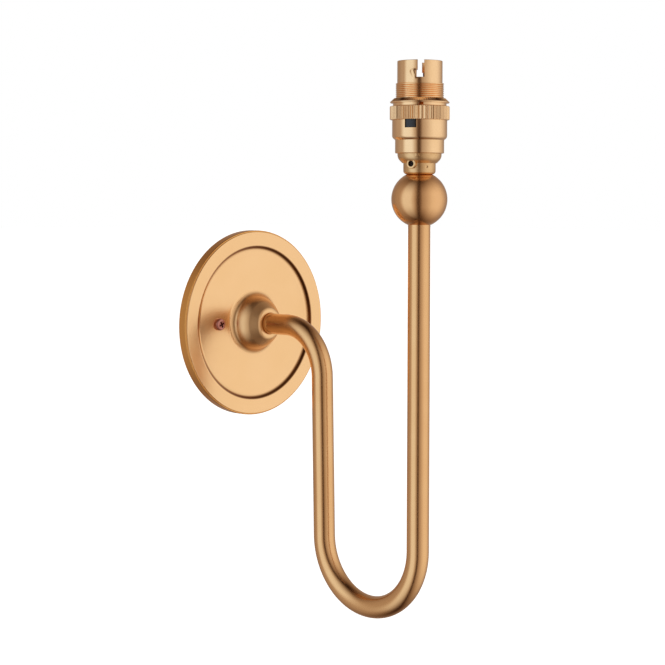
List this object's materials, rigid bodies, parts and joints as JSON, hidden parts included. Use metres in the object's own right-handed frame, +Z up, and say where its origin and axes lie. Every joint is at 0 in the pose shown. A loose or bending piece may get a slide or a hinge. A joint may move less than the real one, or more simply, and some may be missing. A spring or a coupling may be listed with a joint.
{
  "type": "wall lamp bracket arm",
  "caption": "Brass wall bracket: round backplate, tube arm bent down and up in a U, ball and bayonet lampholder with a knurled ring and a shade ring.",
  "frame": {"origin": "centre of the backplate, on the plane where it and its strap meet the wall", "axes": "+Z up, +Y into the wall, the bracket stands out from the wall towards -Y, +X to the right seen from the wall's room side"},
  "size_m": [0.108, 0.1504, 0.304],
  "materials": {
    "satin_brass": "satin lacquered brass, turned, spun and bent, finely brushed",
    "holder_brass": "bright dipped brass, drawn and turned",
    "contact_brass": "plain turned brass",
    "coppered_steel": "coppered steel screws",
    "zinc_steel": "zinc plated steel",
    "spring_steel": "drawn spring wire",
    "black_moulding": "black thermosetting moulding"
  },
  "bodies": {
    "bracket": {"backplate": "satin_brass", "mounting_strap": "zinc_steel", "plate_screws": "coppered_steel", "earth_washer": "contact_brass", "earth_screw": "contact_brass", "arm_tube": "satin_brass", "wall_nipple": "contact_brass", "lock_washer": "zinc_steel", "hex_nut": "contact_brass", "top_nipple": "contact_brass", "ball": "satin_brass", "holder_cap": "holder_brass", "cap_grub_screw": "zinc_steel", "holder_body": "holder_brass", "contact_block": "black_moulding", "terminal_pillars": "contact_brass", "terminal_screws": "zinc_steel", "plunger_spring_a": "spring_steel", "plunger_spring_b": "spring_steel", "bayonet_barrel": "holder_brass", "union_ring": "holder_brass"},
    "shade_ring": {"shade_ring": "holder_brass"},
    "plunger_a": {"contact_plunger_a": "contact_brass"},
    "plunger_b": {"contact_plunger_b": "contact_brass"}
  },
  "joints": [
    {"name": "shade_ring_rise", "type": "slide", "parent": "bracket", "child": "shade_ring", "axis": [0, 0, 1], "range_m": [0, 0.02]},
    {"name": "contact_a_press", "type": "slide", "parent": "bracket", "child": "plunger_a", "axis": [0, 0, 1], "range_m": [-0.004, 0], "stiffness_N_per_m": 1200, "springref_m": 0.002, "deforming": ["plunger_spring_a"]},
    {"name": "contact_b_press", "type": "slide", "parent": "bracket", "child": "plunger_b", "axis": [0, 0, 1], "range_m": [-0.004, 0], "stiffness_N_per_m": 1200, "springref_m": 0.002, "deforming": ["plunger_spring_b"]}
  ]
}
